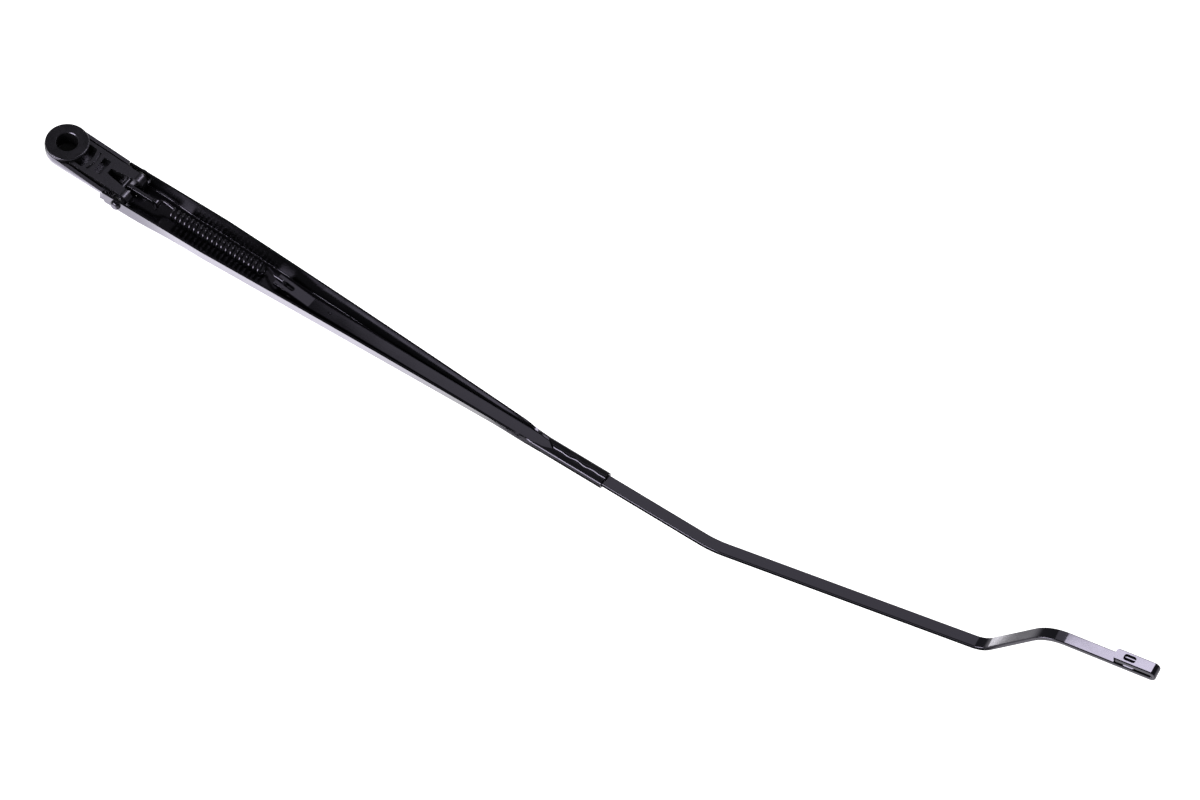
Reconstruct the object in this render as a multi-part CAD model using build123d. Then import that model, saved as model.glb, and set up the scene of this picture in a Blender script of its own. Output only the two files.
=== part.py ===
from build123d import *
import os
from math import acos, atan2, cos, degrees, hypot, pi, radians, sin, sqrt, tan

# A windscreen wiper arm, lying on its back. Millimetres.
# Origin on the spindle bore's axis at the face of the boss. +X runs along the arm to the blade's end,
# +Z points out of the underside, towards the glass.

# Mounting head
BORE_D = 12.0
BORE_CHAMFER = 0.45
BOSS_D = 24.4
BOSS_EDGE_R = 0.8
HEAD_DEPTH = 15.6
HEAD_R = 12.4
HEAD_TAIL_W = 25.8
HEAD_BELLY_R = 11.6
HEAD_WALL = 2.2
HEAD_FLOOR = 2.4
NUT_RECESS_D = 19.0
NUT_RECESS_DEPTH = 5.6
CAP_WALL = 1.4
CAP_FIT = 0.05
RIM_STEP = 1.8
RIM_TAIL_STEP = 5.4
EDGE_BREAK = 0.4

# Fork: the deck between the boss and the pivot, ending in two fingers
DECK_STEP = 1.7
DECK_HALF_W = 9.4
FINGER_STEP = 4.2
FINGER_HALF_W = 9.0
FINGER_REACH = 6.2
FINGER_DROP = 5.2
FORK_WEB = 1.4
TAB_L = 3.0
TAB_T = 1.2
FORK_GAP_ROOT = 3.8
FORK_GAP_END = 9.4
FORK_ROOT_X = 28.6
CRESCENT_W = 4.4
CRESCENT_HALF_W = 7.2
CRESCENT_DEPTH = 8.0
RIB_GROOVE_R = 18.5
RIB_GROOVE_W = 1.2
RIB_GROOVE_HALF_W = 6.4
RIB_GROOVE_Z = -3.6
POCKET_X = 23.8
POCKET_L = 4.6
POCKET_W = 10.6
POCKET_DEPTH = 7.0

# Pivot between head and channel
PIVOT_X = 42.3
PIVOT_Z = -9.6
RIVET_D = 5.0
RIVET_HEAD_D = 6.0
RIVET_HEAD_H = 1.9
RIVET_CROWN_R = 1.5
BUSH_WALL = 0.6
BUSH_FLANGE_D = 8.0
BUSH_FLANGE_T = 0.8
BUSH_DEPTH = 4.6
RUN_CLEARANCE = 0.04
PRESS_CLEARANCE = 0.01
HINGE_GAP = 0.4
LIFT_MAX = 58.0

# Channel, folded from sheet
SHEET = 1.2
FOLD_R = 2.4
TONGUE_L = 4.8
EAR_R = 8.7
EAR_DROP = 4.4
CHANNEL_HALF_W = 12.95
CHANNEL_FREE_Z = -5.6
CHANNEL_BACK_Z = -15.8
BACK_SLOPE = 0.6
HINGE_FLARE = 4.0
WALL_FLARE = 13.0
FLARE_RUN = 36.0
TAPER_START_X = 100.0
CRIMP_X = 324.0
CRIMP_L = 40.0
CRIMP_THROAT = 9.0
FREE_EDGE_SAG = 1.9
SEAM_W = 0.35
SEAM_Y = -1.0
SEAM_WAVE = 0.45
SEAM_WAVES = 3
CHANNEL_STATIONS = 9

# Rod, a flat strip
ROD_W = 7.4
ROD_T = 2.7
ROD_EDGE_R = 0.6
ROD_FIT = 0.05
ROD_END_X = 142.5
ROD_TILT = 9.0
ROD_TILT_X = 166.0
ROD_TILT_R = 12.0
ROD_BEND_X = 429.0
ROD_BEND = 12.0
ROD_BEND_R = 70.0
ROD_REACH = 146.5
STEP_ANGLE = 43.0
STEP_RISE = 34.5
STEP_LOWER_R = 16.0
STEP_UPPER_R = 26.0
ROD_DIP = 3.2
ROD_LEVEL = 50.0
FOLD_GAP = 1.6
FOLD_L = 22.0
FOLD_CORNER_R = 2.2
WINDOW_L = 7.0
WINDOW_W = 4.2
WINDOW_R = 1.5
WINDOW_SET = 8.6
SLOT_L = 7.5
SLOT_W = 3.0
SLOT_SET = 4.0
PIP_X = 178.0
PIP_R = 1.5
PIP_H = 0.6

# Spring and its link
LINK_BAR_X = 39.8
LINK_BAR_Z = -6.4
LINK_BAR_D = 3.2
LINK_T = 2.2
LINK_H = 2.4
LINK_L = 20.7
LINK_EYE_R = 2.6
LINK_CLEARANCE = 0.1
WIRE_D = 1.7
COIL_D = 9.2
COILS = 20
COIL_START = 31.5
COIL_PITCH = 3.1
LOOP_R = 3.6
HOOK_R = 2.8
HOOK_TAIL = 2.5
WIRE_SEAT = 0.3
HOOK_SEAT = 1.1
WIRE_SIDES = 8
STEPS_PER_TURN = 10

# Values that follow from the ones above
BOSS_R = BOSS_D / 2
HEAD_TAIL_X = PIVOT_X - EAR_R - HINGE_GAP
FINGER_END_X = PIVOT_X + FINGER_REACH
FINGER_LOW_Z = PIVOT_Z - FINGER_DROP
BUSH_BORE_R = RIVET_D / 2 + RUN_CLEARANCE + BUSH_WALL
CHANNEL_START_X = PIVOT_X - EAR_R
CHANNEL_FLOOR_Z = CHANNEL_BACK_Z + SHEET
FLARE_START_X = PIVOT_X + EAR_R
CRIMP_HALF_W = ROD_W / 2 + ROD_FIT + SHEET
CRIMP_H = ROD_T + 2 * ROD_FIT + 2 * SHEET
CRIMP_FOLD_R = SHEET + ROD_EDGE_R
COIL_R = (COIL_D - WIRE_D) / 2


def side_prism(face, half_width):
    """A face drawn in X and Z, thickened both ways in Y."""
    return extrude(Plane.XZ * face, half_width, both=True)


def across(x, z, radius, y_from, y_to):
    """A round bar along Y."""
    start = Plane(origin=(x, y_from, z), x_dir=(1, 0, 0), z_dir=(0, 1, 0))
    return extrude(start * Circle(radius), y_to - y_from)


def head_hull(shrink, z_low):
    """The head's outer form or, shrunk by a wall, its cavity: a round end, tangent sides, a round belly."""
    radius = HEAD_R - shrink
    half_tail = HEAD_TAIL_W / 2 - shrink
    tail_angle = atan2(half_tail, HEAD_TAIL_X)
    touch = tail_angle + acos(radius / hypot(HEAD_TAIL_X, half_tail))
    near = (radius * cos(touch), -radius * sin(touch))
    far = (radius * cos(touch), radius * sin(touch))
    outline = [
        Line((HEAD_TAIL_X, half_tail), far),
        ThreePointArc(far, (-radius, 0), near),
        Line(near, (HEAD_TAIL_X, -half_tail)),
        Line((HEAD_TAIL_X, -half_tail), (HEAD_TAIL_X, half_tail)),
    ]
    body = extrude(Plane.XY.offset(z_low) * make_face(outline), -z_low)
    belly = [e for e in body.faces().sort_by(Axis.Z)[0].edges() if e.center().X < HEAD_TAIL_X - EDGE_BREAK]
    return fillet(belly, HEAD_BELLY_R - shrink)


def rim_profile():
    """What is cut off above the skirt's rim, which runs down from the boss to the hinge."""
    return make_face(Polyline(
        (-HEAD_R - HEAD_WALL, -RIM_STEP),
        (0, -RIM_STEP),
        (HEAD_TAIL_X + HEAD_WALL, -RIM_TAIL_STEP),
        (HEAD_TAIL_X + HEAD_WALL, HEAD_WALL),
        (-HEAD_R - HEAD_WALL, HEAD_WALL),
        close=True,
    ))


def fork():
    """Deck and fingers: a tapered plan met with a side view that slopes down to the pivot.

    A V-shaped gap parts the fingers as far down as a thin web. The link swings through a slot in the web."""
    plan = make_face(Polyline(
        (0, -DECK_HALF_W),
        (FINGER_END_X, -FINGER_HALF_W),
        (FINGER_END_X, FINGER_HALF_W),
        (0, DECK_HALF_W),
        close=True,
    ))
    gap = make_face(Polyline(
        (FORK_ROOT_X, -FORK_GAP_ROOT / 2),
        (FINGER_END_X, -FORK_GAP_END / 2),
        (FINGER_END_X, FORK_GAP_END / 2),
        (FORK_ROOT_X, FORK_GAP_ROOT / 2),
        close=True,
    ))
    top_end = (PIVOT_X, -FINGER_STEP)
    low_end = (PIVOT_X, FINGER_LOW_Z)
    side = make_face([
        Line((0, FINGER_LOW_Z), (0, -DECK_STEP)),
        Line((0, -DECK_STEP), top_end),
        ThreePointArc(top_end, (FINGER_END_X, (FINGER_LOW_Z - FINGER_STEP) / 2), low_end),
        Line(low_end, (0, FINGER_LOW_Z)),
    ])
    prism = extrude(Plane.XY.offset(-HEAD_DEPTH) * plan, HEAD_DEPTH)
    body = prism & side_prism(side, HEAD_TAIL_W)
    body -= extrude(Plane.XY.offset(FINGER_LOW_Z + FORK_WEB) * gap, HEAD_DEPTH)
    body -= Pos(web_slot_x(), 0, 0) * Box(
        FINGER_END_X, LINK_T + 2 * HINGE_GAP, 2 * HEAD_DEPTH, align=(Align.MIN, Align.CENTER, Align.CENTER)
    )
    for out in (-1, 1):
        body += across(PIVOT_X, PIVOT_Z, BUSH_FLANGE_D / 2, out * FORK_GAP_END / 2, out * bush_seat())
    return body


def web_slot_x():
    """Where the slot in the web starts: just clear of the link's hook round the bar."""
    return LINK_BAR_X - LINK_BAR_D / 2 - LINK_CLEARANCE - LINK_H - HINGE_GAP


def floor_start_x():
    """Where the channel's floor starts: just clear of the fingers when the arm is fully lifted."""
    lift = radians(LIFT_MAX)
    drop = PIVOT_Z - CHANNEL_FLOOR_Z
    return PIVOT_X + (FINGER_DROP + HINGE_GAP - drop * cos(lift)) / sin(lift)


def tail_tabs():
    """Two upright tabs at the head's tail, which close the slits between its walls and the channel's ears."""
    outside = wall_y(CHANNEL_START_X, FINGER_LOW_Z) - SHEET - HINGE_GAP
    low = HEAD_FLOOR - HEAD_DEPTH
    root = make_face(Polyline(
        (HEAD_TAIL_X - HEAD_WALL, outside - TAB_T),
        (HEAD_TAIL_X + TAB_L, outside - TAB_T),
        (HEAD_TAIL_X + TAB_L, outside),
        (HEAD_TAIL_X, outside),
        (HEAD_TAIL_X, outside + TAB_T),
        (HEAD_TAIL_X - HEAD_WALL, outside + TAB_T),
        close=True,
    ))
    far = extrude(Plane.XY.offset(low) * root, -RIM_TAIL_STEP - low)
    return far + mirror(far, about=Plane.XZ)


def bush_seat():
    """Distance from the arm's middle to the faces of the fingers that the bush flanges rest on."""
    ear_inside = wall_y(PIVOT_X, PIVOT_Z - BUSH_FLANGE_D / 2) - SHEET
    return ear_inside - RUN_CLEARANCE - BUSH_FLANGE_T


def mounting_head():
    hull = head_hull(0, -HEAD_DEPTH)
    shell = hull - head_hull(HEAD_WALL, HEAD_FLOOR - HEAD_DEPTH)
    shell -= side_prism(rim_profile(), HEAD_TAIL_W)
    boss = extrude(Circle(BOSS_R), -HEAD_DEPTH)
    boss = fillet(boss.faces().sort_by(Axis.Z)[-1].edges(), BOSS_EDGE_R)
    inside_hull = head_hull(HEAD_WALL / 2, HEAD_FLOOR / 2 - HEAD_DEPTH)
    prongs = fork()
    beyond = Pos(HEAD_TAIL_X, 0, 0) * Box(
        FINGER_END_X, HEAD_TAIL_W, 2 * HEAD_DEPTH, align=(Align.MIN, Align.CENTER, Align.CENTER)
    )
    deck = (prongs & inside_hull) + (prongs & beyond)
    deck -= arc_pocket(BOSS_R, CRESCENT_W, CRESCENT_HALF_W, -CRESCENT_DEPTH)
    deck -= arc_pocket(RIB_GROOVE_R, RIB_GROOVE_W, RIB_GROOVE_HALF_W, RIB_GROOVE_Z)
    deck -= Pos(POCKET_X, 0, 0) * Box(POCKET_L, POCKET_W, 2 * POCKET_DEPTH)
    head = shell + (boss & hull) + deck + tail_tabs()
    bar_reach = FORK_GAP_END / 2 + EDGE_BREAK
    head += across(LINK_BAR_X, LINK_BAR_Z, LINK_BAR_D / 2, -bar_reach, bar_reach)
    head -= extrude(Circle(BORE_D / 2), -HEAD_DEPTH)
    mouth = Plane.XY * Circle(BORE_D / 2 + BORE_CHAMFER)
    head -= extrude(mouth, -BORE_CHAMFER, taper=45)
    head -= Pos(0, 0, -HEAD_DEPTH) * extrude(Circle(NUT_RECESS_D / 2), NUT_RECESS_DEPTH)
    for out in (-1, 1):
        seat = bush_seat()
        head -= across(PIVOT_X, PIVOT_Z, BUSH_BORE_R, out * (seat - BUSH_DEPTH), out * seat)
    return head


def nut_cap():
    """A plug in the nut's recess: a skirt that grips the recess and a crown flush with the head's belly."""
    radius = NUT_RECESS_D / 2 - CAP_FIT
    plug = Pos(0, 0, -HEAD_DEPTH) * extrude(Circle(radius), NUT_RECESS_DEPTH)
    crown = plug & head_hull(0, -HEAD_DEPTH)
    hollow = head_hull(CAP_WALL, CAP_WALL - HEAD_DEPTH)
    return crown - (hollow & extrude(Circle(radius - CAP_WALL), -HEAD_DEPTH))


def arc_pocket(radius, width, half_w, z_low):
    """A hollow that curves round the boss: between it and the deck's rib, or along the rib."""
    outer = Circle(radius + width) - Circle(radius)
    window = Pos(radius, 0) * Rectangle(2 * radius, 2 * half_w)
    return extrude(outer & window, z_low)


def back_z(x):
    """Height of the channel's outer back: level as far as the rod's end, then rising a little."""
    return CHANNEL_BACK_Z + max(x - ROD_TILT_X, 0) * tan(radians(BACK_SLOPE))


def free_edge_z(x):
    """Height of the channel's free edges: a gentle parabola from the hinge down to the crimp."""
    along = (x - CHANNEL_START_X) / (CRIMP_X - CHANNEL_START_X)
    straight = CHANNEL_FREE_Z + along * (back_z(CRIMP_X) + CRIMP_H - CHANNEL_FREE_Z)
    return straight + 4 * FREE_EDGE_SAG * along * (1 - along)


def flare(x):
    """Slope of the walls out of the upright, as a share of their height."""
    opening = min(max((x - FLARE_START_X) / FLARE_RUN, 0), 1)
    closing = min(max((CRIMP_X - x) / FLARE_RUN, 0), 1)
    hinge = tan(radians(HINGE_FLARE))
    full = tan(radians(WALL_FLARE))
    return (hinge + opening * (full - hinge)) * closing


def half_width(x):
    """Half the width over the free edges: even as far as the taper, then straight down to the crimp."""
    along = min(max((x - TAPER_START_X) / (CRIMP_X - TAPER_START_X), 0), 1)
    return CHANNEL_HALF_W + along * (CRIMP_HALF_W - CHANNEL_HALF_W)


def wall_y(x, z):
    """Outer face of the far wall."""
    return half_width(x) - flare(x) * (free_edge_z(x) - z)


def channel_section(x, inset):
    """One cross-section of the channel's outer form or, inset by the sheet, of its open inside."""
    low = back_z(x) + inset
    high = free_edge_z(x) + 2 * inset
    along = min(max((x - TAPER_START_X) / (CRIMP_X - TAPER_START_X), 0), 1)
    corner = FOLD_R + along * (CRIMP_FOLD_R - FOLD_R)
    foot = wall_y(x, low) - inset
    top = wall_y(x, high) - inset
    face = make_face(Polyline((-top, high), (-foot, low), (foot, low), (top, high), close=True))
    corners = face.vertices().sort_by(Axis.Y)[:2]
    return Plane.YZ.offset(x) * fillet(corners, corner - inset)


def channel_stations():
    """Places of the cross-sections: the hinge, the flare's ends, and even steps down the taper."""
    taper = CRIMP_X - FLARE_RUN - TAPER_START_X
    steps = CHANNEL_STATIONS - 5
    run = [TAPER_START_X + taper * i / steps for i in range(steps + 1)]
    ends = [CHANNEL_START_X, FLARE_START_X, FLARE_START_X + FLARE_RUN, ROD_TILT_X, CRIMP_X]
    return sorted(ends + run)


def trough():
    stations = channel_stations()
    outer = loft([channel_section(x, 0) for x in stations], ruled=True)
    inner = loft([channel_section(x, SHEET) for x in stations], ruled=True)
    return outer - inner


def ear_waste():
    """What is cut from the hinge end so that only two rounded ears are left beside the pivot."""
    low = PIVOT_Z - EAR_DROP
    toe = sqrt(EAR_R ** 2 - EAR_DROP ** 2)
    heel = (PIVOT_X - EAR_R, PIVOT_Z)
    bottom = CHANNEL_BACK_Z - SHEET
    start = floor_start_x()
    elbow = radians(180 + degrees(atan2(EAR_DROP, toe)) / 2)
    bulge = (PIVOT_X + EAR_R * cos(elbow), PIVOT_Z + EAR_R * sin(elbow))
    waste = make_face([
        Line((start, low), (PIVOT_X - toe, low)),
        ThreePointArc((PIVOT_X - toe, low), bulge, heel),
        Line(heel, (heel[0] - SHEET, PIVOT_Z)),
        Line((heel[0] - SHEET, PIVOT_Z), (heel[0] - SHEET, bottom)),
        Line((heel[0] - SHEET, bottom), (start, bottom)),
        Line((start, bottom), (start, low)),
    ])
    return side_prism(waste, 2 * CHANNEL_HALF_W)


def crimp():
    """The channel's end, closed round the rod, with a wavy seam where its two flaps meet."""
    sleeve = loft([crimp_section(x, 0) for x in (CRIMP_X, CRIMP_X + CRIMP_L)], ruled=True)
    sleeve -= loft([crimp_section(x, SHEET) for x in (CRIMP_X, CRIMP_X + CRIMP_L)], ruled=True)
    inside = Plane(origin=(CRIMP_X, 0, back_z(CRIMP_X) + CRIMP_H / 2))
    throat = make_face(Polyline(
        (0, -CRIMP_HALF_W + SHEET),
        (CRIMP_THROAT, SEAM_Y),
        (0, CRIMP_HALF_W - SHEET),
        close=True,
    ))
    return sleeve - extrude(inside * throat, CRIMP_H) - extrude(inside * seam(), CRIMP_H)


def crimp_section(x, inset):
    """One cross-section of the crimp's outside or, inset by the sheet, of the space for the rod."""
    middle = Plane(origin=(x, 0, back_z(x) + CRIMP_H / 2), x_dir=(0, 1, 0), z_dir=(1, 0, 0))
    return middle * RectangleRounded(2 * (CRIMP_HALF_W - inset), CRIMP_H - 2 * inset, CRIMP_FOLD_R - inset)


def along_back(x, height):
    """A plane across the rising part of the arm, a height above its back: local X is the arm's +Y."""
    slope = radians(BACK_SLOPE)
    origin = Vector(x, 0, back_z(x)) + Vector(-sin(slope), 0, cos(slope)) * height
    return Plane(origin=origin, x_dir=(0, 1, 0), z_dir=(cos(slope), 0, sin(slope)))


def seam():
    """A narrow ribbon that waves from side to side along the crimp."""
    steps = 4 * SEAM_WAVES
    start = CRIMP_THROAT - SEAM_W / SEAM_WAVE
    run = CRIMP_L + SEAM_W - start
    middle = []
    for i in range(steps + 1):
        wave = SEAM_WAVE * sin(2 * pi * SEAM_WAVES * i / steps)
        middle.append((start + run * i / steps, SEAM_Y + wave))
    near = [(x, y - SEAM_W / 2) for x, y in middle]
    far = [(x, y + SEAM_W / 2) for x, y in middle]
    return make_face([
        Spline(near),
        Line(near[-1], far[-1]),
        Spline(far[::-1]),
        Line(far[0], near[0]),
    ])


def arm_channel():
    body = trough() - ear_waste() + crimp() + tongue()
    hole_r = RIVET_D / 2 + PRESS_CLEARANCE
    seat_r = RIVET_HEAD_D / 2 + EDGE_BREAK
    for out in (-1, 1):
        outside = out * 2 * CHANNEL_HALF_W
        body -= across(PIVOT_X, PIVOT_Z, hole_r, out * FORK_GAP_END, outside)
        body -= across(PIVOT_X, PIVOT_Z, seat_r, out * rivet_seat(), outside)
    return body


def tongue():
    """A strip of the floor that reaches under the link, into the slot of the head's web."""
    start = floor_start_x()
    return Pos(start - TONGUE_L, 0, CHANNEL_BACK_Z) * Box(
        TONGUE_L + SHEET, LINK_T, SHEET, align=(Align.MIN, Align.CENTER, Align.MIN)
    )


def rivet_seat():
    """Distance from the arm's middle to the flat under each rivet head."""
    return wall_y(PIVOT_X, PIVOT_Z)


def pivot_rivet(out):
    """A shank that turns in the bush and a domed head outside the ear; out is -1 for the near side, 1 for
    the far side."""
    inner_end = bush_seat() - BUSH_DEPTH + BUSH_WALL + RUN_CLEARANCE
    seat = rivet_seat()
    shank = across(PIVOT_X, PIVOT_Z, RIVET_D / 2, out * inner_end, out * seat)
    head = across(PIVOT_X, PIVOT_Z, RIVET_HEAD_D / 2, out * seat, out * (seat + RIVET_HEAD_H))
    crown = head.edges().filter_by(GeomType.CIRCLE).sort_by(Axis.Y)
    rim = crown[-1] if out > 0 else crown[0]
    return shank + fillet(rim, RIVET_CROWN_R)


def pivot_bush(out):
    """A flanged sleeve with a closed end, pressed into the finger."""
    seat = bush_seat()
    outside = BUSH_BORE_R - PRESS_CLEARANCE
    inner_end = seat - BUSH_DEPTH
    sleeve = across(PIVOT_X, PIVOT_Z, outside, out * inner_end, out * seat)
    flange = across(PIVOT_X, PIVOT_Z, BUSH_FLANGE_D / 2, out * seat, out * (seat + BUSH_FLANGE_T))
    hole_r = RIVET_D / 2 + RUN_CLEARANCE
    hole = across(PIVOT_X, PIVOT_Z, hole_r, out * (inner_end + BUSH_WALL), out * (seat + BUSH_FLANGE_T))
    return sleeve + flange - hole


class Strip:
    """A strip laid down length by length: straight runs, bends across its flat and bends in its plane."""

    def __init__(self, plane, section):
        self.plane = plane
        self.section = section
        self.lengths = []

    def run(self, length):
        self.lengths.append(extrude(self.plane * self.section, length))
        self.plane = self.plane.offset(length)

    def bend_flat(self, angle, radius):
        """Turns towards the strip's upper face, or away from it if the angle is negative."""
        way = 1 if angle > 0 else -1
        x, y, z = self.plane.x_dir, self.plane.y_dir, self.plane.z_dir
        centre = self.plane.origin + y * (way * radius)
        self._turn(Axis(centre, x * -way), abs(angle))
        a = radians(abs(angle))
        up = y * cos(a) - z * (way * sin(a))
        ahead = z * cos(a) + y * (way * sin(a))
        self.plane = Plane(origin=centre - up * (way * radius), x_dir=x, z_dir=ahead)

    def bend_edge(self, angle, radius):
        """Turns in the strip's own plane, towards +Y."""
        x, y, z = self.plane.x_dir, self.plane.y_dir, self.plane.z_dir
        centre = self.plane.origin + x * radius
        self._turn(Axis(centre, y), angle)
        a = radians(angle)
        side = x * cos(a) - z * sin(a)
        ahead = z * cos(a) + x * sin(a)
        self.plane = Plane(origin=centre - side * radius, x_dir=side, z_dir=ahead)

    def _turn(self, axis, angle):
        self.lengths.append(revolve(self.plane * self.section, axis, angle))

    def solid(self):
        return self.lengths[0].fuse(*self.lengths[1:]).clean()


def rod_ramp():
    """Plane of the rod's inner end and the length of its ramp down to the channel's floor."""
    tilt = radians(ROD_TILT)
    slope = radians(BACK_SLOPE)
    landing = along_back(ROD_TILT_X, SHEET + ROD_FIT + ROD_T / 2).origin
    tilt_run = ROD_TILT_R * (sin(tilt) + sin(slope))
    ramp = (landing.X - tilt_run - ROD_END_X) / cos(tilt)
    rise = ramp * sin(tilt) + ROD_TILT_R * (cos(slope) - cos(tilt))
    origin = (ROD_END_X, 0, landing.Z + rise)
    return Plane(origin=origin, x_dir=(0, 1, 0), z_dir=(cos(tilt), 0, -sin(tilt))), ramp


def wiper_rod():
    section = RectangleRounded(ROD_W, ROD_T, ROD_EDGE_R)
    inner_end, ramp = rod_ramp()
    strip = Strip(inner_end, section)
    strip.run(ramp)
    strip.bend_flat(ROD_TILT + BACK_SLOPE, ROD_TILT_R)
    strip.run((ROD_BEND_X - ROD_TILT_X) / cos(radians(BACK_SLOPE)))
    strip.bend_edge(ROD_BEND, ROD_BEND_R)
    strip.run(ROD_REACH)
    strip.bend_flat(STEP_ANGLE, STEP_LOWER_R)
    step = radians(STEP_ANGLE)
    in_bends = (STEP_LOWER_R + STEP_UPPER_R) * (1 - cos(step))
    strip.run((STEP_RISE - in_bends) / sin(step))
    strip.bend_flat(-STEP_ANGLE - ROD_DIP, STEP_UPPER_R)
    strip.run(ROD_LEVEL)
    strip.bend_flat(180, (ROD_T + FOLD_GAP) / 2)
    strip.run(FOLD_L)
    body = strip.solid()
    fold_end = Plane(origin=strip.plane.origin, x_dir=strip.plane.z_dir, z_dir=strip.plane.y_dir)
    window = Pos(-WINDOW_SET, 0) * RectangleRounded(WINDOW_L, WINDOW_W, WINDOW_R)
    body -= extrude(fold_end * (window + fold_corners()), ROD_T / 2 + FOLD_GAP / 2, both=True)
    slot_at = inner_end.offset(SLOT_SET + SLOT_L / 2)
    through = Plane(origin=slot_at.origin, x_dir=slot_at.z_dir, z_dir=slot_at.y_dir)
    body -= extrude(through * SlotOverall(SLOT_L, SLOT_W), ROD_T, both=True)
    pip_at = along_back(PIP_X, SHEET + ROD_FIT + ROD_T + PIP_H - PIP_R).origin
    return body + Pos(pip_at) * Sphere(PIP_R)


def fold_corners():
    """What is cut off the corners of the leg that is folded back; local X runs out of its end."""
    end = Rectangle(FOLD_CORNER_R, ROD_W + ROD_T, align=(Align.MAX, Align.CENTER))
    rounded = Pos(-FOLD_L, 0) * RectangleRounded(2 * FOLD_L, ROD_W, FOLD_CORNER_R)
    return end - rounded


def hook_place():
    """Middle of the spring hook's bend, which hangs in the rod's slot just clear of its end."""
    inner_end = rod_ramp()[0]
    return inner_end.offset(SLOT_SET + HOOK_SEAT + WIRE_D / 2).origin


def pull_line():
    """Frame of the link and spring: origin on the head's bar, local X along the line of pull."""
    bar = Vector(LINK_BAR_X, 0, LINK_BAR_Z)
    along = (hook_place() - bar).normalized()
    return Plane(origin=bar, x_dir=along, z_dir=along.cross(Vector(0, 1, 0)))


def spring_link():
    """A flat hook over the head's bar, with a shank and an eye for the spring's loop."""
    inner = LINK_BAR_D / 2 + LINK_CLEARANCE
    outer = inner + LINK_H
    lower_half = Pos(0, -outer) * Rectangle(2 * outer, 2 * outer)
    hook = (Circle(outer) - Circle(inner)) & lower_half
    shank = Pos(inner, 0) * Rectangle(LINK_L - inner, LINK_H, align=(Align.MIN, Align.CENTER))
    blank = hook + shank + Pos(LINK_L, 0) * Circle(LINK_EYE_R)
    blank -= Circle(inner)
    blank -= Pos(LINK_L, 0) * Circle(WIRE_D / 2 + WIRE_SEAT)
    pull = pull_line()
    upright = Plane(origin=pull.origin, x_dir=pull.x_dir, z_dir=-pull.y_dir)
    return extrude(upright * blank, LINK_T / 2, both=True)


def spring_path():
    """Points along the wire, in the frame of pull: loop, coils and hook.

    The loop is half a circle in the level plane, the coils a helix round the line of pull, and the hook a
    half circle in the upright plane. A cubic with matched directions joins each to the coils."""
    span = (hook_place() - Vector(LINK_BAR_X, 0, LINK_BAR_Z)).length
    step = 2 * pi / STEPS_PER_TURN
    loop_x = LINK_L + LOOP_R
    loop = []
    for i in range(STEPS_PER_TURN + 1):
        a = radians(250) - radians(160) * i / STEPS_PER_TURN
        loop.append(Vector(loop_x + LOOP_R * cos(a), LOOP_R * sin(a), 0))
    coils = []
    turns = 2 * pi * COILS
    for i in range(COILS * STEPS_PER_TURN + 1):
        a = step * i
        coils.append(Vector(COIL_START + COIL_PITCH * COILS * a / turns, COIL_R * cos(a), COIL_R * sin(a)))
    rise = COIL_PITCH / (2 * pi)
    into = Vector(rise, 0, COIL_R)
    leg_x = coils[-1].X + COIL_D
    hook_x = span - HOOK_R
    hook = [Vector(leg_x, 0, HOOK_R), Vector(hook_x, 0, HOOK_R)]
    for i in range(1, STEPS_PER_TURN // 2 + 1):
        a = pi / 2 - 2 * pi * i / STEPS_PER_TURN
        hook.append(Vector(hook_x + HOOK_R * cos(a), 0, HOOK_R * sin(a)))
    hook.append(Vector(hook_x - HOOK_TAIL, 0, -HOOK_R))
    lead_in = cubic(loop[-1], Vector(COIL_R * 2, 0, 0), coils[0], into * 1.5)
    lead_out = cubic(coils[-1], into * 1.5, hook[0], Vector(COIL_R * 2, 0, 0))
    return loop + lead_in + coils + lead_out + hook


def cubic(start, start_way, end, end_way):
    """Points between two ends on the cubic that leaves and arrives in the given directions."""
    points = []
    steps = STEPS_PER_TURN // 2
    for i in range(1, steps):
        t = i / steps
        points.append(
            start * (2 * t ** 3 - 3 * t ** 2 + 1)
            + start_way * (t ** 3 - 2 * t ** 2 + t)
            + end * (3 * t ** 2 - 2 * t ** 3)
            + end_way * (t ** 3 - t ** 2)
        )
    return points


def tension_spring():
    """Wire of many flats, built straight from section to section along its path."""
    points = spring_path()
    side = Vector(0, 0, 1)
    sections = []
    for i, point in enumerate(points):
        before = points[max(i - 1, 0)]
        after = points[min(i + 1, len(points) - 1)]
        ahead = (after - before).normalized()
        side = (side - ahead * side.dot(ahead)).normalized()
        place = Plane(origin=point, x_dir=side, z_dir=ahead)
        sections.append(place * RegularPolygon(WIRE_D / 2, WIRE_SIDES))
    local = loft(sections, ruled=True)
    return pull_line().location * local


PIECES = {
    "mounting_head": mounting_head,
    "nut_cap": nut_cap,
    "arm_channel": arm_channel,
    "wiper_rod": wiper_rod,
    "spring_link": spring_link,
    "tension_spring": tension_spring,
    "pivot_rivet_near": lambda: pivot_rivet(-1),
    "pivot_rivet_far": lambda: pivot_rivet(1),
    "pivot_bush_near": lambda: pivot_bush(-1),
    "pivot_bush_far": lambda: pivot_bush(1),
}

os.makedirs("parts", exist_ok=True)
for name, make in PIECES.items():
    export_step(make(), f"parts/{name}.step")
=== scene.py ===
import bmesh
import bpy
import numpy as np
from mathutils import Matrix, Vector


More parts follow.
